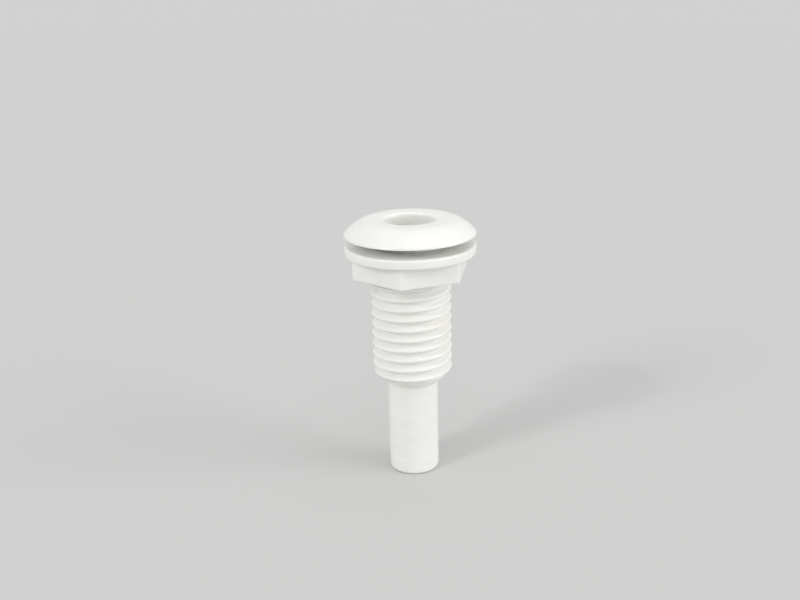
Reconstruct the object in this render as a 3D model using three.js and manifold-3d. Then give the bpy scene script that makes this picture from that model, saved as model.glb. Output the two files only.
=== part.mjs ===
// Thru hull fitting for a 5/8 inch hose: a moulded plastic skin fitting and the flanged nut that
// clamps it to a boat's hull. Millimetres. +Z runs along the axis of symmetry towards the head,
// and the fitting stands with the open end of its hose tail on z = 0, its axis on the Z axis.
import * as THREE from 'three';
import * as BufferGeometryUtils from 'three/addons/utils/BufferGeometryUtils.js';
import Module from 'manifold-3d';

const wasm = await Module();
wasm.setup();

// Lengths along the axis.
const TAIL_LENGTH = 30.7; // from the open end to the shoulder
const SHANK_LENGTH = 48.8; // from the bottom of the shoulder to the hull face
const SHOULDER_CONE = 4.3; // height of the cone that leads from the tail out to the thread
const HEAD_HEIGHT = 4.8;

// The head: a thin upright edge, a low dome and a flat face around the mouth of the bore. Its
// underside bears on the hull with an outer land, inside which it is hollowed for the sealant.
const HEAD_DIAMETER = 41.3;
const HEAD_EDGE_HEIGHT = 0.5;
const HEAD_FACE_DIAMETER = 24.8;
const HEAD_DOME_POWER = 2.2; // the dome falls by this power of the way out from the face
const HEAD_DOME_STEPS = 8;
const LAND_INNER_DIAMETER = 33.0;
const SEALANT_DEPTH = 0.5;

// The thread: 1 inch, right-hand, with narrow crests, narrow roots and flanks at 30 degrees.
const THREAD_DIAMETER = 25.4;
const THREAD_PITCH = 3.3;
const THREAD_DEPTH = 1.6;
const CREST_SHARE = 0.2; // share of the pitch that the flat of a crest takes
const ROOT_SHARE = 0.22; // share of the pitch that the flat of a root takes
const FIRST_CREST_DEPTH = 46.5; // from the hull face down to a crest, at angle 0
const RADIAL_CLEARANCE = 0.3; // between the fitting's thread and the nut's
const AXIAL_CLEARANCE = 0.1; // added to that on each flank

// The hose tail, with four low barbs.
const TAIL_DIAMETER = 15.9;
const TAIL_TIP_ROUND = 1.0;
const BARB_COUNT = 4;
const BARB_PITCH = 5.0;
const FIRST_BARB_DEPTH = 10.6; // from the shoulder down to the first crest
const BARB_HEIGHT = 0.2;
const BARB_RAMP = 2.4; // from each crest towards the open end
const BARB_CREST = 0.5;

// The bore, wide in the shank and narrow in the tail.
const BORE_DIAMETER = 16.0;
const TAIL_BORE_DIAMETER = 12.0;
const BORE_CONE_LENGTH = 4.0;
const MOUTH_FLARE = 1.0;

// The nut: a round flange that bears on the hull, and a hexagon for the spanner.
const NUT_HEIGHT = 10.0;
const NUT_FLANGE_DIAMETER = 41.3;
const NUT_FLANGE_THICKNESS = 3.0;
const NUT_FLANGE_ROUND = 0.6;
const NUT_ACROSS_FLATS = 33.3;
const NUT_CORNER_BEVEL = 0.8;
const NUT_TURN = THREE.MathUtils.degToRad(20); // how the hexagon stands about the axis
const NUT_LEAD_IN = 3.0; // width of the countersink at the hexagon's end of the nut
const FLANGE_LEAD_IN = 1.3; // width of the countersink at its flange end
const SLEEVE_DIAMETER = 31.0; // carries the nut's thread through the flange
const SLEEVE_GAP = 0.3; // between the sleeve with its hexagon and the flange
const NUT_REST_GAP = 3.0; // between the head and the nut where the nut is at rest

// Facets.
const ROUND_SEGMENTS = 40;
const THREAD_SEGMENTS = 24; // for each turn
const HEXAGON_SIDES = 6;
const CUT_MARGIN = 1.0; // how far a cutting or joining solid runs past the surface

// Heights that follow from the lengths.
const SHOULDER_Z = TAIL_LENGTH;
const HULL_FACE_Z = SHOULDER_Z + SHANK_LENGTH;
const FIRST_CREST_Z = HULL_FACE_Z - FIRST_CREST_DEPTH;
const TOP_Z = HULL_FACE_Z + HEAD_HEIGHT;
const NUT_TOP_Z = HULL_FACE_Z - NUT_REST_GAP;
const NUT_BOTTOM_Z = NUT_TOP_Z - NUT_HEIGHT;
const NUT_STEP_Z = NUT_TOP_Z - NUT_FLANGE_THICKNESS;

// A closed geometry as a solid: shared vertices merged, and triangles of no area left out.
function solidOf(geometry) {
  geometry.deleteAttribute('normal');
  geometry.deleteAttribute('uv');
  const merged = BufferGeometryUtils.mergeVertices(geometry, 1e-4);
  const corners = Array.from(merged.index.array);
  const kept = [];
  for (let i = 0; i < corners.length; i += 3) {
    const [a, b, c] = corners.slice(i, i + 3);
    if (a !== b && b !== c && c !== a) kept.push(a, b, c);
  }
  return new wasm.Manifold(new wasm.Mesh({
    numProp: 3,
    vertProperties: Float32Array.from(merged.attributes.position.array),
    triVerts: Uint32Array.from(kept),
  }));
}

// A solid as a named mesh with a material of its own.
function meshOf(name, solid, material) {
  const { vertProperties, triVerts } = solid.getMesh();
  const geometry = new THREE.BufferGeometry();
  geometry.setAttribute('position', new THREE.BufferAttribute(Float32Array.from(vertProperties), 3));
  geometry.setIndex(new THREE.BufferAttribute(Uint32Array.from(triVerts), 1));
  geometry.computeVertexNormals();
  const mesh = new THREE.Mesh(geometry, material);
  mesh.name = name;
  return mesh;
}

// A solid of revolution about Z. The outline is a list of [radius, height], anticlockwise with
// the axis on its left, and it starts and ends on the axis.
function turned(outline, segments = ROUND_SEGMENTS) {
  const points = outline.map(([radius, height]) => new THREE.Vector2(radius, height));
  const geometry = new THREE.LatheGeometry(points, segments);
  geometry.rotateX(Math.PI / 2);
  return solidOf(geometry);
}

// A plain cylinder or cone about Z between two heights.
function plug(bottomRadius, topRadius, bottom, top) {
  return turned([[0, bottom], [bottomRadius, bottom], [topRadius, top], [0, top]]);
}

// The solid inside a right-hand threaded surface: one outline of crest, flank, root and flank,
// carried round the axis while it climbs one pitch a turn. Row r of column c lies one outline
// step above row r - 1, and after the last column the rows join those of the next turn.
function threadedRod(rootRadius, crestRadius, crestShare, bottom, top) {
  const flankShare = (1 - CREST_SHARE - ROOT_SHARE) / 2;
  const outline = [
    [0, crestRadius],
    [crestShare, crestRadius],
    [crestShare + flankShare, rootRadius],
    [1 - flankShare, rootRadius],
  ];
  const steps = outline.length;
  // Crests are centred on whole pitches from the first, so any two such rods are in mesh.
  const firstTurn = Math.floor((bottom - FIRST_CREST_Z) / THREAD_PITCH) - 1;
  const lowest = FIRST_CREST_Z + THREAD_PITCH * (firstTurn - crestShare / 2);
  const turns = Math.ceil((top - lowest) / THREAD_PITCH) + 1;
  const rows = steps * turns + 1;
  const positions = [];
  const faces = [];
  const at = (column, row) => (
    column < THREAD_SEGMENTS ? column * rows + row : row + steps
  );
  for (let column = 0; column < THREAD_SEGMENTS; column++) {
    const share = column / THREAD_SEGMENTS;
    const angle = 2 * Math.PI * share;
    for (let row = 0; row < rows; row++) {
      const [along, radius] = outline[row % steps];
      const height = lowest + THREAD_PITCH * (share + along + Math.floor(row / steps));
      positions.push(radius * Math.cos(angle), radius * Math.sin(angle), height);
    }
  }
  const lastRow = rows - 1 - steps;
  for (let column = 0; column < THREAD_SEGMENTS; column++) {
    for (let row = 0; row < lastRow; row++) {
      const [a, b] = [at(column, row), at(column + 1, row)];
      const [c, d] = [at(column + 1, row + 1), at(column, row + 1)];
      faces.push(a, b, c, a, c, d);
    }
  }
  // Each end is closed by a fan from a point on the axis to the edge, which climbs one pitch.
  const low = positions.length / 3;
  positions.push(0, 0, lowest);
  const high = low + 1;
  positions.push(0, 0, lowest + THREAD_PITCH * turns);
  for (let column = 0; column < THREAD_SEGMENTS; column++) {
    faces.push(low, at(column + 1, 0), at(column, 0));
    faces.push(high, at(column, lastRow), at(column + 1, lastRow));
  }
  for (let row = 0; row < steps; row++) {
    faces.push(low, row, row + 1);
    faces.push(high, lastRow + row + 1, lastRow + row);
  }
  const geometry = new THREE.BufferGeometry();
  geometry.setAttribute('position', new THREE.BufferAttribute(Float32Array.from(positions), 3));
  geometry.setIndex(faces);
  return solidOf(geometry);
}

// The head, a low dome on a thin upright edge, hollowed a little inside the land underneath.
function headSolid() {
  const land = LAND_INNER_DIAMETER / 2;
  const face = HEAD_FACE_DIAMETER / 2;
  const dome = Array.from({ length: HEAD_DOME_STEPS + 1 }, (_, i) => {
    const way = 1 - i / HEAD_DOME_STEPS;
    return [
      face + (HEAD_DIAMETER / 2 - face) * way,
      TOP_Z - (HEAD_HEIGHT - HEAD_EDGE_HEIGHT) * way ** HEAD_DOME_POWER,
    ];
  });
  return turned([
    [0, HULL_FACE_Z + SEALANT_DEPTH],
    [land - SEALANT_DEPTH, HULL_FACE_Z + SEALANT_DEPTH],
    [land, HULL_FACE_Z],
    [HEAD_DIAMETER / 2, HULL_FACE_Z],
    ...dome,
    [0, TOP_Z],
  ]);
}

// The threaded shank, cut to a cone at the shoulder, and running up into the head.
function shankSolid() {
  const crest = THREAD_DIAMETER / 2;
  const slope = SHOULDER_CONE / (crest - TAIL_DIAMETER / 2);
  const top = HULL_FACE_Z + SEALANT_DEPTH + CUT_MARGIN;
  const rod = threadedRod(crest - THREAD_DEPTH, crest, CREST_SHARE, SHOULDER_Z, top);
  const envelope = turned([
    [0, SHOULDER_Z],
    [TAIL_DIAMETER / 2, SHOULDER_Z],
    [crest + CUT_MARGIN, SHOULDER_Z + SHOULDER_CONE + slope * CUT_MARGIN],
    [crest + CUT_MARGIN, top],
    [0, top],
  ]);
  return rod.intersect(envelope);
}

// The hose tail: a rounded open end and low barbs, each a long ramp up from the open end, a
// short crest and a step back down.
function tailSolid() {
  const radius = TAIL_DIAMETER / 2;
  const corner = TAIL_TIP_ROUND * (1 - Math.SQRT1_2);
  const barbs = Array.from({ length: BARB_COUNT }, (_, i) => {
    const crest = SHOULDER_Z - FIRST_BARB_DEPTH - BARB_PITCH * (BARB_COUNT - 1 - i);
    return [
      [radius, crest - BARB_RAMP],
      [radius + BARB_HEIGHT, crest],
      [radius + BARB_HEIGHT, crest + BARB_CREST],
      [radius, crest + BARB_CREST + BARB_HEIGHT],
    ];
  });
  return turned([
    [0, 0],
    [radius - TAIL_TIP_ROUND, 0],
    [radius - corner, corner],
    [radius, TAIL_TIP_ROUND],
    ...barbs.flat(),
    [radius, SHOULDER_Z + CUT_MARGIN],
    [0, SHOULDER_Z + CUT_MARGIN],
  ]);
}

// What the bore takes away, from end to end.
function boreSolid() {
  const coneTop = SHOULDER_Z + BORE_CONE_LENGTH;
  return turned([
    [0, -CUT_MARGIN],
    [TAIL_BORE_DIAMETER / 2, -CUT_MARGIN],
    [TAIL_BORE_DIAMETER / 2, SHOULDER_Z],
    [BORE_DIAMETER / 2, coneTop],
    [BORE_DIAMETER / 2, TOP_Z - MOUTH_FLARE],
    [BORE_DIAMETER / 2 + MOUTH_FLARE, TOP_Z],
    [BORE_DIAMETER / 2 + MOUTH_FLARE, TOP_Z + CUT_MARGIN],
    [0, TOP_Z + CUT_MARGIN],
  ]);
}

// The nut's hexagon, bevelled at its lower corners and with a turned sleeve above it that
// passes through the flange.
function hexagonSolid() {
  const cornerRadius = NUT_ACROSS_FLATS / Math.sqrt(3);
  const stepZ = NUT_STEP_Z - SLEEVE_GAP;
  const sides = Array.from({ length: HEXAGON_SIDES }, (_, side) => {
    const angle = NUT_TURN + side * 2 * Math.PI / HEXAGON_SIDES;
    return new THREE.Vector2(cornerRadius * Math.cos(angle), cornerRadius * Math.sin(angle));
  });
  const prism = new THREE.ExtrudeGeometry(new THREE.Shape(sides), {
    depth: stepZ - NUT_BOTTOM_Z,
    bevelEnabled: false,
  });
  prism.translate(0, 0, NUT_BOTTOM_Z);
  const bevel = turned([
    [0, NUT_BOTTOM_Z - CUT_MARGIN],
    [cornerRadius - NUT_CORNER_BEVEL - CUT_MARGIN, NUT_BOTTOM_Z - CUT_MARGIN],
    [cornerRadius + CUT_MARGIN, NUT_BOTTOM_Z + NUT_CORNER_BEVEL + CUT_MARGIN],
    [cornerRadius + CUT_MARGIN, NUT_TOP_Z],
    [0, NUT_TOP_Z],
  ]);
  const sleeve = plug(SLEEVE_DIAMETER / 2, SLEEVE_DIAMETER / 2, stepZ - CUT_MARGIN, NUT_TOP_Z);
  return solidOf(prism).intersect(bevel).add(sleeve);
}

// What the nut's thread takes away: the fitting's thread with its clearance, and a countersink
// at each end, the wide one where the nut starts on the thread.
function nutBoreSolid() {
  const crest = THREAD_DIAMETER / 2 + RADIAL_CLEARANCE;
  const root = crest - THREAD_DEPTH;
  const crestShare = CREST_SHARE + 2 * AXIAL_CLEARANCE / THREAD_PITCH;
  const rod = threadedRod(root, crest, crestShare, NUT_BOTTOM_Z, NUT_TOP_Z);
  const narrow = root - CUT_MARGIN;
  const lowWide = root + NUT_LEAD_IN + CUT_MARGIN;
  const highWide = root + FLANGE_LEAD_IN + CUT_MARGIN;
  const below = NUT_BOTTOM_Z - CUT_MARGIN;
  const above = NUT_TOP_Z + CUT_MARGIN;
  return rod
    .add(plug(lowWide, narrow, below, below + lowWide - narrow))
    .add(plug(narrow, highWide, above - (highWide - narrow), above));
}

// The nut's flange, a ring around the sleeve with its outer edges eased.
function flangeSolid() {
  const outer = NUT_FLANGE_DIAMETER / 2;
  const inner = SLEEVE_DIAMETER / 2 + SLEEVE_GAP;
  const ring = turned([
    [0, NUT_STEP_Z],
    [outer - NUT_FLANGE_ROUND, NUT_STEP_Z],
    [outer, NUT_STEP_Z + NUT_FLANGE_ROUND],
    [outer, NUT_TOP_Z - NUT_FLANGE_ROUND],
    [outer - NUT_FLANGE_ROUND, NUT_TOP_Z],
    [0, NUT_TOP_Z],
  ]);
  return ring.subtract(plug(inner, inner, NUT_STEP_Z - CUT_MARGIN, NUT_TOP_Z + CUT_MARGIN));
}

const whitePlastic = () => new THREE.MeshStandardMaterial({
  color: 0xefefec,
  roughness: 0.35,
  metalness: 0.0,
});

const group = new THREE.Group();
const fitting = headSolid().add(shankSolid()).add(tailSolid()).subtract(boreSolid());
group.add(meshOf('hull_fitting', fitting, whitePlastic()));
group.add(meshOf('nut_flange', flangeSolid(), whitePlastic()));
group.add(meshOf('lock_nut', hexagonSolid().subtract(nutBoreSolid()), whitePlastic()));

export default group;
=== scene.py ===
# %% [markdown]
# # A thru hull fitting and its nut
#
# A thru hull fitting carries water through the wall of a boat. It is one hollow moulding of white
# plastic: a low head that stays outside the hull, a threaded shank that passes through it, and a
# smooth tail that a hose is pushed over. One big flanged nut on the shank clamps the hull.
#
# Almost everything here is round about one axis, so every surface is worked out with numpy on a grid of
# two parameters: how far round the axis, and how far along an outline. That is quicker to write
# and closer to the real thing than pushing a stock cylinder about, and it lets the thread be the
# same formula on the shank and inside the nut.
#
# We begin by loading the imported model. It fixes every place and size, in metres.

# %% The fixed frame
import math

import bmesh
import bpy
import numpy as np
from mathutils import Matrix, Vector


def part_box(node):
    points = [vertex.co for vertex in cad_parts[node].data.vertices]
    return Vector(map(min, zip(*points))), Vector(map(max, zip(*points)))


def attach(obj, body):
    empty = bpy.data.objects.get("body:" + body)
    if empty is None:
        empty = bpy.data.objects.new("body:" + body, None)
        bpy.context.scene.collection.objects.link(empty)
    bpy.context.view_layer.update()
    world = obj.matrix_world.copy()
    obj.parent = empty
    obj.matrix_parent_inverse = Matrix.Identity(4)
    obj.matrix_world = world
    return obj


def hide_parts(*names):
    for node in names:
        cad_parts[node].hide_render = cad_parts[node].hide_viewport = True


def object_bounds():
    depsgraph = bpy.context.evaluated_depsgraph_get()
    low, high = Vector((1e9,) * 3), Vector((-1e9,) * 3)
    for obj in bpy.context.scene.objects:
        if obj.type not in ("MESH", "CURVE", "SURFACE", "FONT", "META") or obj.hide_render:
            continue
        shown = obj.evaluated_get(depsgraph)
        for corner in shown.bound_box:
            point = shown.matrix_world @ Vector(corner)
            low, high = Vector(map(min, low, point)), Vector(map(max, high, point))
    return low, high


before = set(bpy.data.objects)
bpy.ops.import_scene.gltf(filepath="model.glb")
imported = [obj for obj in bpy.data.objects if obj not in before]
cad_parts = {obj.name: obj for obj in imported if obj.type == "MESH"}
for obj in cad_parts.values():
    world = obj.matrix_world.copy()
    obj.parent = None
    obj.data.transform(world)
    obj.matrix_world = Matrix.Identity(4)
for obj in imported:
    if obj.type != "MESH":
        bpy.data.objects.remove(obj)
cad_low, cad_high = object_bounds()
print("CAD box in mm:", [round(1000 * v, 2) for v in (*cad_low, *cad_high)])

# %% [markdown]
# ## Sizes
#
# What the frame can't say, such as the pitch of the thread, is named here once, in millimetres,
# and used everywhere below.

# %% Driving sizes
MM = 0.001
THREAD_RADIUS = 12.7
PITCH = 3.3
THREAD_DEPTH = 1.6
SHANK_LENGTH = 48.8
SHOULDER_CONE = 4.3
FIRST_CREST_DEPTH = 46.9
HEAD_HEIGHT = 4.8
TAIL_RADIUS = 7.95
TAIL_BORE_RADIUS = 6.0
BORE_RADIUS = 8.0
BORE_CONE = 4.0
NUT_FLANGE_THICKNESS = 3.0
ACROSS_FLATS = 33.3
HEXAGON_TURN = math.radians(20)
print(f"thread {2 * THREAD_RADIUS} mm across, tail {2 * TAIL_RADIUS} mm, pitch {PITCH} mm")

# %% [markdown]
# The other sizes are read from the frame, so the looks can't drift away from the design: how wide
# the head is, where the hull face lies and where the nut sits.

# %% Sizes read from the frame
total_height = cad_high.z / MM
head_radius = cad_high.x / MM
hull_face = total_height - HEAD_HEIGHT
shoulder = hull_face - SHANK_LENGTH
first_crest = hull_face - FIRST_CREST_DEPTH
nut_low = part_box("lock_nut")[0].z / MM
nut_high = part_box("nut_flange")[1].z / MM
nut_step = nut_high - NUT_FLANGE_THICKNESS
nut_flange_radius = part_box("nut_flange")[1].x / MM
print(f"height {total_height:.2f}, hull face {hull_face:.2f}, shoulder {shoulder:.2f}")
print(f"nut from {nut_low:.2f} to {nut_high:.2f}, flange radius {nut_flange_radius:.2f}")

# %% [markdown]
# ## Outlines
#
# A moulded edge is never sharp: the mould is polished and the plastic shrinks a little, so every
# corner has a small radius. An outline here is a list of corners, each with its own radius, and
# one helper replaces each corner by a true arc. Rounding in the outline, rather than with a Bevel
# modifier, puts the points just where the light needs them.


# %% Rounded outlines
ARC_STEPS = 6
STRAIGHT = 1e-3


def rounded(corners, steps=ARC_STEPS):
    """An open outline through (radius, height, rounding) corners, as an array of points.

    Each inner corner becomes the arc that touches both its legs: with half-angle h between the
    legs, it starts and ends r / tan(h) from the corner and its centre is r / sin(h) away, on the
    line that halves the angle.
    """
    points = np.array([c[:2] for c in corners], float)
    out = [points[:1]]
    for i in range(1, len(points) - 1):
        corner, radius = points[i], corners[i][2]
        to_last = points[i - 1] - corner
        to_next = points[i + 1] - corner
        to_last /= np.linalg.norm(to_last)
        to_next /= np.linalg.norm(to_next)
        half = math.acos(np.clip(to_last @ to_next, -1, 1)) / 2
        if radius == 0 or half > math.pi / 2 - STRAIGHT:
            out.append(corner[None])
            continue
        middle = (to_last + to_next) / np.linalg.norm(to_last + to_next)
        centre = corner + middle * radius / math.sin(half)
        start = corner + to_last * radius / math.tan(half) - centre
        end = corner + to_next * radius / math.tan(half) - centre
        turn = math.atan2(start[0] * end[1] - start[1] * end[0], start @ end)
        angles = np.linspace(0, turn, steps + 1)[:, None]
        across = np.array([-start[1], start[0]])
        out.append(centre + np.cos(angles) * start + np.sin(angles) * across)
    out.append(points[-1:])
    return np.concatenate(out)


print("one rounded corner:", len(rounded([(0, 0, 0), (1, 0, 0.2), (1, 1, 0)])), "points")

# %% [markdown]
# A long straight leg is cut into shorter ones. Without that, the quads along it would be thin
# slivers, which shade badly and make poor solids.


# %% Shorter legs
LONGEST_LEG = 1.5


def subdivided(outline, longest):
    """The same outline with extra points, evenly spaced, wherever a leg is over the longest."""
    legs = np.linalg.norm(np.diff(outline, axis=0), axis=1)
    counts = np.maximum(np.ceil(legs / longest).astype(int), 1)
    starts = np.repeat(outline[:-1], counts, axis=0)
    ends = np.repeat(outline[1:], counts, axis=0)
    first = np.repeat(np.cumsum(counts) - counts, counts)
    shares = ((np.arange(counts.sum()) - first) / np.repeat(counts, counts))[:, None]
    return np.concatenate([starts + shares * (ends - starts), outline[-1:]])


print("a leg of 5 mm in", len(subdivided(np.array([[0, 0], [0, 5.0]]), LONGEST_LEG)) - 1, "parts")

# %% [markdown]
# ## From grids to a mesh
#
# Each stretch of a surface is a grid: one axis goes round, the other along. The stretches of one
# moulding are stacked into a single mesh and their shared edges are merged, which leaves one
# closed skin with no seams. The faces run so that their normals point out of the plastic.


# %% A grid round the axis
def revolved(outline, angles, ridge=None):
    """A grid of points [along, round]: radius r and height z of the outline at every angle.

    A ridge, if there is one, is a height added to the radius.
    """
    radius, height = outline[:, 0, None], outline[:, 1, None]
    if ridge:
        radius = radius + ridge(radius, angles)
    return np.stack(
        [radius * np.cos(angles), radius * np.sin(angles), height + 0 * angles], axis=-1
    )


print("a ring of 4 sides is a grid of", revolved(np.ones((1, 2)), np.arange(5)).shape)

# %% [markdown]
# Merging closes each grid on itself, because its first and last columns are at the same place, and
# it joins each grid to the next. Counting the open edges afterwards proves that nothing gapes.


# %% One closed skin from several grids
MERGE_DISTANCE = 2e-6


def skin(name, grids):
    """A mesh object from grids of points in mm, their edges merged and their normals outwards.

    Every grid has its first and last columns at the same place, so merging closes it.
    """
    points, faces, base = [], [], 0
    for grid in grids:
        rows, columns = grid.shape[:2]
        index = base + np.arange(rows * columns).reshape(rows, columns)
        quads = np.stack(
            [index[:-1, :-1], index[:-1, 1:], index[1:, 1:], index[1:, :-1]], axis=-1
        )
        points.append(grid.reshape(-1, 3) * MM)
        faces.append(quads.reshape(-1, 4))
        base += rows * columns
    mesh = bpy.data.meshes.new(name)
    mesh.from_pydata(np.concatenate(points), [], np.concatenate(faces).tolist())
    shape = bmesh.new()
    shape.from_mesh(mesh)
    bmesh.ops.remove_doubles(shape, verts=shape.verts, dist=MERGE_DISTANCE)
    bmesh.ops.dissolve_degenerate(shape, edges=shape.edges, dist=MERGE_DISTANCE)
    bmesh.ops.recalc_face_normals(shape, faces=shape.faces)
    open_edges = sum(not edge.is_manifold for edge in shape.edges)
    shape.to_mesh(mesh)
    shape.free()
    mesh.shade_smooth()
    piece = bpy.data.objects.new(name, mesh)
    bpy.context.scene.collection.objects.link(piece)
    print(f"{name}: {len(mesh.polygons)} faces, {open_edges} open edges")
    return piece


print("points are merged within", MERGE_DISTANCE / MM, "mm")

# %% [markdown]
# ## The thread
#
# A moulded plastic thread is coarse and soft: narrow rounded crests, wide rounded grooves, sloping
# sides between them and no sharp edge anywhere. Its height at a point depends only on how far that
# point is from the nearest groove, along the axis, and the groove climbs one pitch for each turn.

# %% The thread as a formula
GROOVE_FLAT = 0.11
GROOVE_WIDE = 0.43
CREST_CROWN = 0.2


def thread_radius(angle, height, widen=0.0):
    """Radius of the threaded surface: the crest, less the depth where a groove is near.

    Distance from the nearest groove is a share of the pitch, from 0 in the groove to 0.5 on the
    crest. The wall between the two is a smooth step, 3t^2 - 2t^3, and the crest falls away from
    its middle by a square law.
    """
    turns = (height - first_crest) / PITCH - angle / (2 * math.pi)
    from_groove = np.abs((turns - np.floor(turns)) - 0.5)
    wall = np.clip((from_groove - GROOVE_FLAT) / (GROOVE_WIDE - GROOVE_FLAT), 0, 1)
    wall = wall**2 * (3 - 2 * wall)
    crown = CREST_CROWN * (1 - 2 * from_groove) ** 2
    return THREAD_RADIUS + widen - THREAD_DEPTH * (1 - wall) - crown * wall


turn_heights = first_crest + PITCH * np.linspace(0, 1, 101)
turn_radii = thread_radius(0, turn_heights)
print(f"thread from {turn_radii.min():.2f} to {turn_radii.max():.2f} mm out")

# %% [markdown]
# The rows of the thread's grid climb with it, so that they follow the crests instead of cutting
# across them. Rows that would pass an end are held at that end, where merging removes them.

# %% A grid that climbs with the thread
ROWS_PER_TURN = 18


def threaded(bottom, top, angles, limit, widen=0.0):
    """A grid whose rows climb one pitch a turn, held between two heights.

    limit(radius, height) gives the radius that is kept where the thread meets a cone: the lesser
    of the two on the shank, the greater in the nut.
    """
    first = math.floor((bottom - first_crest) / PITCH) - 1
    last = math.ceil((top - first_crest) / PITCH) + 1
    rows = np.arange(first * ROWS_PER_TURN, last * ROWS_PER_TURN + 1)[:, None] / ROWS_PER_TURN
    height = first_crest + PITCH * (rows + angles / (2 * math.pi))
    height = np.clip(height, bottom, top)
    radius = limit(thread_radius(angles, height, widen), height)
    return np.stack([radius * np.cos(angles), radius * np.sin(angles), height], axis=-1)


print("rows are", round(PITCH / ROWS_PER_TURN, 3), "mm apart along the axis")

# %% [markdown]
# ## The fitting
#
# The tail, the shank and the head are one moulding, so they are one skin: up the outside of the
# tail, out along a conical shoulder, up the thread, round the low domed head, down through the
# bore and back to the start. The tail's barbs are very low, because a clamp holds the hose.

# %% The barbs
BARB_COUNT = 4
BARB_PITCH = 5.0
FIRST_BARB_DEPTH = 11.0
BARB_HEIGHT = 0.05
BARB_RAMP = 2.4
BARB_CREST = 0.4
BARB_STEP = 0.25
RAMP_ROUND = 2.0
CREST_ROUND = 1.0
STEP_ROUND = 0.3


def barb_corners():
    """Corners of the tail's side from the tip up: a long ramp, a short crest and a step back."""
    corners = []
    for i in reversed(range(BARB_COUNT)):
        crest = shoulder - FIRST_BARB_DEPTH - BARB_PITCH * i
        corners += [
            (TAIL_RADIUS, crest - BARB_RAMP, RAMP_ROUND),
            (TAIL_RADIUS + BARB_HEIGHT, crest, CREST_ROUND),
            (TAIL_RADIUS + BARB_HEIGHT, crest + BARB_CREST, STEP_ROUND),
            (TAIL_RADIUS, crest + BARB_CREST + BARB_STEP, STEP_ROUND),
        ]
    return corners


print("barb crests from", [round(c[1], 2) for c in barb_corners()[1::4]], "mm up")

# %% [markdown]
# The tail's outline starts in the middle of its end face, where the bore's outline will end, so
# the two meet on a flat face and not at an edge. It stops a little way up the conical shoulder.

# %% The tail's outline
TIP_ROUND = 1.0
SHOULDER_FILLET = 0.35
CONE_START = 0.4

middle_wall = (TAIL_RADIUS + TAIL_BORE_RADIUS) / 2
cone_slope = SHOULDER_CONE / (THREAD_RADIUS - TAIL_RADIUS)
tail_outline = rounded(
    [(middle_wall, 0, 0), (TAIL_RADIUS, 0, TIP_ROUND)]
    + barb_corners()
    + [
        (TAIL_RADIUS, shoulder, SHOULDER_FILLET),
        (TAIL_RADIUS + CONE_START, shoulder + CONE_START * cone_slope, 0),
    ]
)
print(f"tail outline {len(tail_outline)} points, shoulder slope {cone_slope:.2f}")

# %% [markdown]
# The head is a low dome with a flat middle and a thin edge. Under it lies a shallow recess for
# sealant, inside a flat ring that bears on the hull.

# %% The head's outline
HEAD_EDGE = 0.5
HEAD_FACE_RADIUS = 12.4
DOME_POWER = 2.2
DOME_STEPS = 24
LAND_RADIUS = 16.5
SEALANT_DEPTH = 0.5
NECK_START = 0.5
RECESS_ROUND = 0.3
RIM_ROUND = 0.2


def dome(steps):
    """Points from the head's edge in to its flat face: height falls by a power of the way out."""
    way = np.linspace(1, 0, steps + 1)
    radius = HEAD_FACE_RADIUS + (head_radius - HEAD_FACE_RADIUS) * way
    return np.stack([radius, total_height - (HEAD_HEIGHT - HEAD_EDGE) * way**DOME_POWER], -1)


under_head = rounded(
    [
        (THREAD_RADIUS + NECK_START, hull_face + SEALANT_DEPTH, 0),
        (LAND_RADIUS - SEALANT_DEPTH, hull_face + SEALANT_DEPTH, RECESS_ROUND),
        (LAND_RADIUS, hull_face, RIM_ROUND),
        (head_radius, hull_face, RIM_ROUND),
        (head_radius, hull_face + HEAD_EDGE, 0),
    ]
)
print(f"under the head {len(under_head)} points, dome {DOME_STEPS + 1}")

# %% [markdown]
# Inside, the bore is wide through the head and the shank, and narrows by a short cone at the
# shoulder to fit the thinner tail. Its outline runs down, which closes the skin.

# %% The bore's outline
MOUTH_ROUND = 1.0
BORE_CONE_ROUND = 3.0
TAIL_BORE_ROUND = 0.5

bore_outline = rounded(
    [
        (HEAD_FACE_RADIUS, total_height, 0),
        (BORE_RADIUS, total_height, MOUTH_ROUND),
        (BORE_RADIUS, shoulder + BORE_CONE, BORE_CONE_ROUND),
        (TAIL_BORE_RADIUS, shoulder, BORE_CONE_ROUND),
        (TAIL_BORE_RADIUS, 0, TAIL_BORE_ROUND),
        (middle_wall, 0, 0),
    ]
)
head_outline = np.concatenate([under_head[:-1], dome(DOME_STEPS), bore_outline[1:]])
print(f"head and bore outline {len(head_outline)} points")

# %% [markdown]
# Each half of the mould shapes one side of the tail and the shank, and where the two meet they
# leave a fine raised line, on both sides of the plastic. The columns of the grids are crowded
# together there, so that so fine a line gets enough of them.

# %% The line where the mould parts
ROUND_COLUMNS = 180
COLUMN_CROWDING = 0.7
PARTING_HEIGHT = 0.06
PARTING_WIDTH = 0.14

round_angles = np.linspace(0, 2 * math.pi, ROUND_COLUMNS + 1)
round_angles = round_angles - COLUMN_CROWDING * np.sin(2 * round_angles) / 2


def parting_line(radius, angles):
    """Height of the raised line: a bell curve of the distance from y = 0.

    It rises from nothing at the middle of the tail's end face to its full height on the outside.
    """
    rise = np.clip((radius - middle_wall) / (TAIL_RADIUS - middle_wall), 0, 1)
    return PARTING_HEIGHT * rise * np.exp(-((radius * np.sin(angles) / PARTING_WIDTH) ** 2))


print(f"columns from {np.degrees(np.diff(round_angles).min()):.2f} degrees apart")

# %% [markdown]
# The shank's thread begins on the shoulder: where the cone is narrower than the thread, the cone
# wins, so that the crests fade in as they do on the real moulding.

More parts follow.
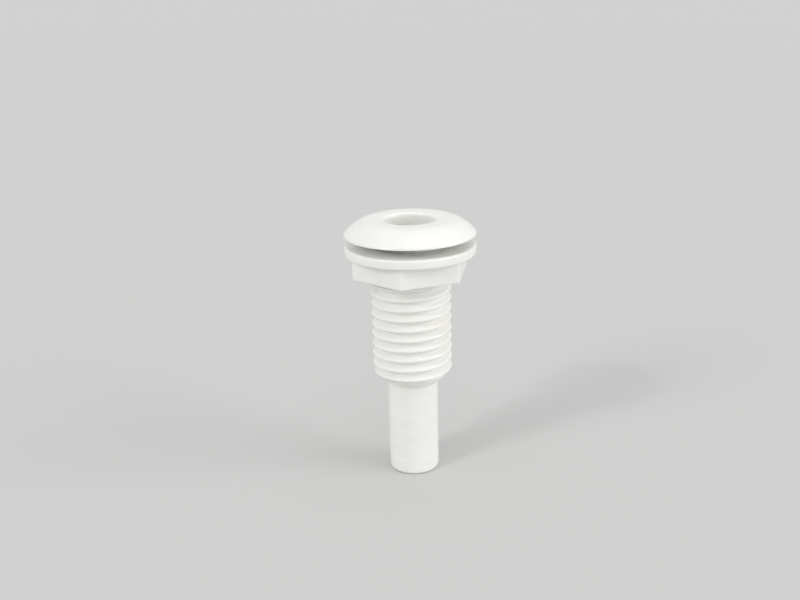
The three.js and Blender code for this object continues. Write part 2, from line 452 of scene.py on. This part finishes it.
# %% The fitting as one skin
def shank_limit(radius, height):
    """The thread's radius, no more than the cone that narrows towards the tail allows."""
    surface = np.minimum(radius, TAIL_RADIUS + (height - shoulder) / cone_slope)
    return surface + parting_line(surface, round_angles)


cone_foot = tail_outline[-1, 1]
shank = threaded(cone_foot, hull_face + SEALANT_DEPTH, round_angles, shank_limit)
lower, upper = shank[:1], shank[-1:]
tail = revolved(subdivided(tail_outline, LONGEST_LEG), round_angles, parting_line)
head = revolved(subdivided(head_outline, LONGEST_LEG), round_angles)
step = np.concatenate([tail[-1:], lower])
neck = np.concatenate([upper, head[:1]])
fitting = skin("fitting", [tail, step, shank, neck, head])
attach(fitting, "fitting")
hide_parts("hull_fitting")

# %% [markdown]
# ## The nut
#
# The nut is one moulding too: a round flange that bears on the hull, a hexagon for the spanner
# and the thread through both. The hexagon's corners are rounded, and its points set the angles of
# every grid of the nut, so that each corner gets the columns it needs.

# %% The hexagon as a path
HEXAGON_SIDES = 6
CORNER_ROUND = 0.9
CORNER_STEPS = 8
SIDE_STEPS = 28


def hexagon(turn):
    """Angles and radii of a closed hexagon with rounded corners.

    Along one side, between two corners, the path runs straight at half the width across flats
    from the axis. Round a corner it is an arc about a centre nearer the axis by r / cos(30).
    """
    half = math.pi / HEXAGON_SIDES
    flat = ACROSS_FLATS / 2
    centre = (flat - CORNER_ROUND) / math.cos(half)
    sweep = np.linspace(-half, half, CORNER_STEPS + 1)
    corner = centre + CORNER_ROUND * np.exp(1j * sweep)
    start, end = corner[-1], corner[0] * np.exp(2j * half)
    side = start + (end - start) * np.linspace(0, 1, SIDE_STEPS + 1)[1:-1]
    one = np.concatenate([corner, side])
    turns = np.exp(1j * (turn + 2 * half * np.arange(HEXAGON_SIDES)))
    path = (turns[:, None] * one).reshape(-1)
    angles = turn + np.unwrap(np.angle(path * np.exp(-1j * turn)))
    return np.append(angles, angles[0] + 2 * math.pi), np.append(abs(path), abs(path[0]))


nut_angles, hexagon_radii = hexagon(HEXAGON_TURN)
print(f"hexagon path of {len(nut_angles)} points, {hexagon_radii.max():.2f} mm to a corner")

# %% [markdown]
# Both mouths of the nut are bevelled, the hexagon's by far the wider, so that the thread starts
# some way in. Like the shank's, the nut's thread gives way to a cone, here the wider of the two.

# %% The nut's mouths
NUT_CLEARANCE = 0.3
NUT_LEAD_IN = 3.0
FLANGE_LEAD_IN = 1.3

nut_hole = THREAD_RADIUS + NUT_CLEARANCE - THREAD_DEPTH
low_mouth = nut_hole + NUT_LEAD_IN
high_mouth = nut_hole + FLANGE_LEAD_IN


def nut_limit(radius, height):
    """The nut's thread, no less than the two cones that widen towards its ends allow."""
    low_cone = low_mouth - (height - nut_low)
    high_cone = high_mouth - (nut_high - height)
    return np.maximum(radius, np.maximum(low_cone, high_cone))


print(f"hole {nut_hole:.2f} mm, mouths {low_mouth:.2f} and {high_mouth:.2f} mm in radius")

# %% [markdown]
# The hexagon has a rounded edge all round its end, and a small fillet where it meets the flange.
# Both follow the hexagon's own outline, which is why they are rings of the same grid.

# %% The hexagon's grid
HEX_BEVEL = 0.8
HEX_FILLET = 0.5
FACE_STEPS = 8


def spanner_grid():
    """The hexagon's end face, rounded edge and sides, from the countersink to the flange.

    Every height has one ring of points. Across the face a ring lies a share of the way from the
    countersink to the hexagon, and round the edge it is set back by r(1 - sin) and r(1 - cos).
    """
    reach = hexagon_radii
    quarter = np.linspace(0, math.pi / 2, ARC_STEPS + 1)[:, None]
    shares = np.linspace(0, 1, FACE_STEPS)[:-1, None]
    face_radius = low_mouth + shares * (reach - HEX_BEVEL - low_mouth)
    edge_radius = reach - HEX_BEVEL * (1 - np.sin(quarter))
    edge_height = nut_low + HEX_BEVEL * (1 - np.cos(quarter)) + 0 * reach
    fillet_radius = reach + HEX_FILLET * (1 - np.cos(quarter))
    fillet_height = nut_step - HEX_FILLET * (1 - np.sin(quarter)) + 0 * reach
    climb = np.linspace(0, 1, FACE_STEPS)[1:-1, None]
    side_height = edge_height[-1:] + climb * (fillet_height[:1] - edge_height[-1:])
    radius = np.concatenate([face_radius, edge_radius, reach + 0 * climb, fillet_radius])
    height = np.concatenate([nut_low + 0 * face_radius, edge_height, side_height, fillet_height])
    return np.stack([radius * np.cos(nut_angles), radius * np.sin(nut_angles), height], -1)


spanner = spanner_grid()
print("hexagon grid", spanner.shape)

# %% [markdown]
# The flange is a plain ring. Six grids then make the whole nut: the hexagon, the flange, the
# thread, and a narrow step between each of them and the next.

# %% The nut as one skin
FLANGE_ROUND = 0.6
FLANGE_START = 0.9
MOUTH_LAND = 0.2

flange_outline = rounded(
    [
        (nut_flange_radius - FLANGE_START, nut_step, 0),
        (nut_flange_radius, nut_step, FLANGE_ROUND),
        (nut_flange_radius, nut_high, FLANGE_ROUND),
        (high_mouth + MOUTH_LAND, nut_high, 0),
    ]
)
flange = revolved(subdivided(flange_outline, LONGEST_LEG), nut_angles)
inside = threaded(nut_low, nut_high, nut_angles, nut_limit, NUT_CLEARANCE)
nut = skin(
    "lock_nut_moulding",
    [
        np.concatenate([inside[:1], spanner[:1]]),
        spanner,
        np.concatenate([spanner[-1:], flange[:1]]),
        flange,
        np.concatenate([flange[-1:], inside[-1:]]),
        inside,
    ],
)
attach(nut, "nut")
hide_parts("nut_flange", "lock_nut")

# %% [markdown]
# ## White plastic
#
# The plastic is a bright, very slightly warm white. Light goes a millimetre or so into it, which
# fills the grooves with a glow, so the shader has some subsurface scattering. The mould was
# polished for the head, the thread and the nut, and left a little duller for the tail.

# %% Two helpers for nodes
def node(tree, kind, **inputs):
    """A new shader node with some of its inputs set."""
    made = tree.nodes.new(kind)
    for name, value in inputs.items():
        made.inputs[name.replace("_", " ")].default_value = value
    return made


def ranged(tree, source, target, low, high, start=0.0, end=1.0):
    """Carry a value on to a socket, from the range start to end into the range low to high."""
    span = node(tree, "ShaderNodeMapRange", From_Min=start, From_Max=end, To_Min=low, To_Max=high)
    tree.links.new(source, span.inputs["Value"])
    tree.links.new(span.outputs["Result"], target)


print("node helpers:", node.__name__, ranged.__name__)

# %% [markdown]
# The shader reads Object coordinates, in metres, so one material serves both mouldings and its
# detail keeps its true size: noise of scale 1900 has lumps of about half a millimetre.

# %% The plastic's shader
WARM_WHITE = (0.87, 0.868, 0.845)
CLOUD_TINT = (0.985, 0.98, 0.965)
CLOUD_EDGES = (0.38, 0.62)
CLOUD_SCALE = 85.0
STREAK_SCALE = 750.0
STREAK_STRETCH = 0.06
STREAK_DEPTH = 0.035
STREAK_SPREAD = (0.3, 0.7)
GRAIN_SCALE = 1900.0
GRAIN_STRENGTH = 0.35
GRAIN_HEIGHT = 0.02
GLOSS = 0.18
SATIN = 0.36
SATIN_FADE = 1.0
PLASTIC_IOR = 1.5
GLOW_SHARE = 0.3
GLOW_COLOUR = (1.0, 0.92, 0.78)
GLOW_DEPTH = 1.2


def white_plastic(name, colour):
    """A Principled plastic with three scales of detail.

    Clouds a centimetre wide tint it a little. Streaks drawn out along the axis, where the plastic
    flowed and slid out of the mould, vary the roughness. A grain of half a millimetre, the skin
    of the mould, goes to the bump. Roughness also falls from satin to gloss at the shoulder.
    """
    material = bpy.data.materials.new(name)
    material.use_nodes = True
    tree = material.node_tree
    shader = tree.nodes["Principled BSDF"]
    place = tree.nodes.new("ShaderNodeTexCoord").outputs["Object"]
    drawn = node(tree, "ShaderNodeMapping", Scale=(1.0, 1.0, STREAK_STRETCH))
    tree.links.new(place, drawn.inputs["Vector"])
    clouds = node(tree, "ShaderNodeTexNoise", Scale=CLOUD_SCALE, Detail=3.0, Roughness=0.5)
    streaks = node(tree, "ShaderNodeTexNoise", Scale=STREAK_SCALE, Detail=2.0, Roughness=0.5)
    grain = node(tree, "ShaderNodeTexNoise", Scale=GRAIN_SCALE, Detail=2.0, Roughness=0.5)
    tree.links.new(place, clouds.inputs["Vector"])
    tree.links.new(drawn.outputs["Vector"], streaks.inputs["Vector"])
    tree.links.new(place, grain.inputs["Vector"])
    tint = tree.nodes.new("ShaderNodeValToRGB")
    shaded = [c * t for c, t in zip(colour, CLOUD_TINT)]
    for stop, edge, shade in zip(tint.color_ramp.elements, CLOUD_EDGES, (shaded, colour)):
        stop.position = edge
        stop.color = (*shade, 1)
    tree.links.new(clouds.outputs["Fac"], tint.inputs["Fac"])
    tree.links.new(tint.outputs["Color"], shader.inputs["Base Color"])

    height = tree.nodes.new("ShaderNodeSeparateXYZ")
    tree.links.new(place, height.inputs["Vector"])
    total = tree.nodes.new("ShaderNodeMath")
    total.operation = "ADD"
    satin_end, gloss_start = (shoulder - SATIN_FADE) * MM, (shoulder + SATIN_FADE) * MM
    ranged(tree, height.outputs["Z"], total.inputs[0], SATIN, GLOSS, satin_end, gloss_start)
    spread = (-STREAK_DEPTH, STREAK_DEPTH, *STREAK_SPREAD)
    ranged(tree, streaks.outputs["Fac"], total.inputs[1], *spread)
    tree.links.new(total.outputs["Value"], shader.inputs["Roughness"])

    bump = node(tree, "ShaderNodeBump", Strength=GRAIN_STRENGTH, Distance=GRAIN_HEIGHT * MM)
    tree.links.new(grain.outputs["Fac"], bump.inputs["Height"])
    tree.links.new(bump.outputs["Normal"], shader.inputs["Normal"])

    shader.inputs["IOR"].default_value = PLASTIC_IOR
    shader.inputs["Subsurface Weight"].default_value = GLOW_SHARE
    shader.inputs["Subsurface Radius"].default_value = GLOW_COLOUR
    shader.inputs["Subsurface Scale"].default_value = GLOW_DEPTH * MM
    return material


plastic = white_plastic("white_plastic", WARM_WHITE)
fitting.data.materials.append(plastic)
nut.data.materials.append(plastic)
print(f"{plastic.name}: {len(plastic.node_tree.nodes)} nodes, on the fitting and on the nut")

# %% [markdown]
# ## Floor, light and camera
#
# The fitting stands on its hose tail on a plain pale floor. A white room gives most of the light.
# Five lights add the shape, all far away, so that the floor is lit evenly: a strong wide one on
# the right, a weaker one on the left, with a small bright one beside it that puts a spark on every
# crest, and two weak wide ones from the front and above.

# %% The floor
FLOOR_SIZE = 60.0
FLOOR_PAPER = (0.6, 0.6, 0.595)
PAPER_ROUGHNESS = 0.85
PAPER_SHEEN = 0.2


def plain(name, colour, roughness):
    """A plain material for the stage."""
    material = bpy.data.materials.new(name)
    material.use_nodes = True
    shader = material.node_tree.nodes["Principled BSDF"]
    shader.inputs["Base Color"].default_value = (*colour, 1)
    shader.inputs["Roughness"].default_value = roughness
    shader.inputs["Specular IOR Level"].default_value = PAPER_SHEEN
    return material


bpy.ops.mesh.primitive_plane_add(size=FLOOR_SIZE, location=(0, 0, 0))
floor = bpy.context.object
floor.name = "floor"
floor.data.materials.append(plain("floor_paper", FLOOR_PAPER, PAPER_ROUGHNESS))
print("floor", floor.name, FLOOR_SIZE, "m across")

# %% The light
ROOM_STRENGTH = 0.72


def studio_light(name, turn, height, spread, strength):
    """A light far away, in degrees: turned right of the camera, how high, and how wide it looks."""
    data = bpy.data.lights.new(name, "SUN")
    data.angle = math.radians(spread)
    data.energy = strength
    lamp = bpy.data.objects.new(name, data)
    level = math.cos(math.radians(height))
    towards = Vector((
        math.sin(math.radians(turn)) * level,
        -math.cos(math.radians(turn)) * level,
        math.sin(math.radians(height)),
    ))
    lamp.rotation_euler = towards.to_track_quat("Z", "Y").to_euler()
    bpy.context.scene.collection.objects.link(lamp)
    return lamp


studio_light("key_right", 72, 20, 40, 1.1)
studio_light("front", 5, 12, 70, 0.16)
studio_light("fill_left", -52, 30, 20, 0.6)
studio_light("spark_left", -50, 38, 4, 0.2)
studio_light("top", 10, 80, 50, 0.2)
world = bpy.data.worlds.new("soft_room")
world.use_nodes = True
world.node_tree.nodes["Background"].inputs["Color"].default_value = (1, 1, 1, 1)
world.node_tree.nodes["Background"].inputs["Strength"].default_value = ROOM_STRENGTH
bpy.context.scene.world = world
bpy.context.scene.view_settings.view_transform = "Standard"

# %% [markdown]
# The camera looks down at the head by some 18 degrees and is tilted a little, so that the fitting
# leans. Its place is worked back from where the head should stand in the frame: so far along the
# line of sight, and so far to the right and up.

# %% The camera
CAMERA_ELEVATION = math.radians(18.25)
CAMERA_ROLL = math.radians(-1.43)
CAMERA_DISTANCE = 310.6 * MM
LENS = 45.0
HEAD_RIGHT = 3.06 * MM
HEAD_UP = 20.67 * MM

forward = Vector((0, math.cos(CAMERA_ELEVATION), -math.sin(CAMERA_ELEVATION)))
level_up = Vector((0, math.sin(CAMERA_ELEVATION), math.cos(CAMERA_ELEVATION)))
level_right = Vector((1, 0, 0))
right = math.cos(CAMERA_ROLL) * level_right + math.sin(CAMERA_ROLL) * level_up
up = -math.sin(CAMERA_ROLL) * level_right + math.cos(CAMERA_ROLL) * level_up
head_centre = Vector((0, 0, hull_face * MM))
place = head_centre - HEAD_RIGHT * right - HEAD_UP * up - CAMERA_DISTANCE * forward
camera_data = bpy.data.cameras.new("camera")
camera_data.lens = LENS
camera = bpy.data.objects.new("camera", camera_data)
turn = Matrix((right, up, -forward)).transposed()
camera.matrix_world = Matrix.Translation(place) @ turn.to_4x4()
bpy.context.scene.collection.objects.link(camera)
bpy.context.scene.camera = camera
print("camera at", [round(v, 3) for v in place])
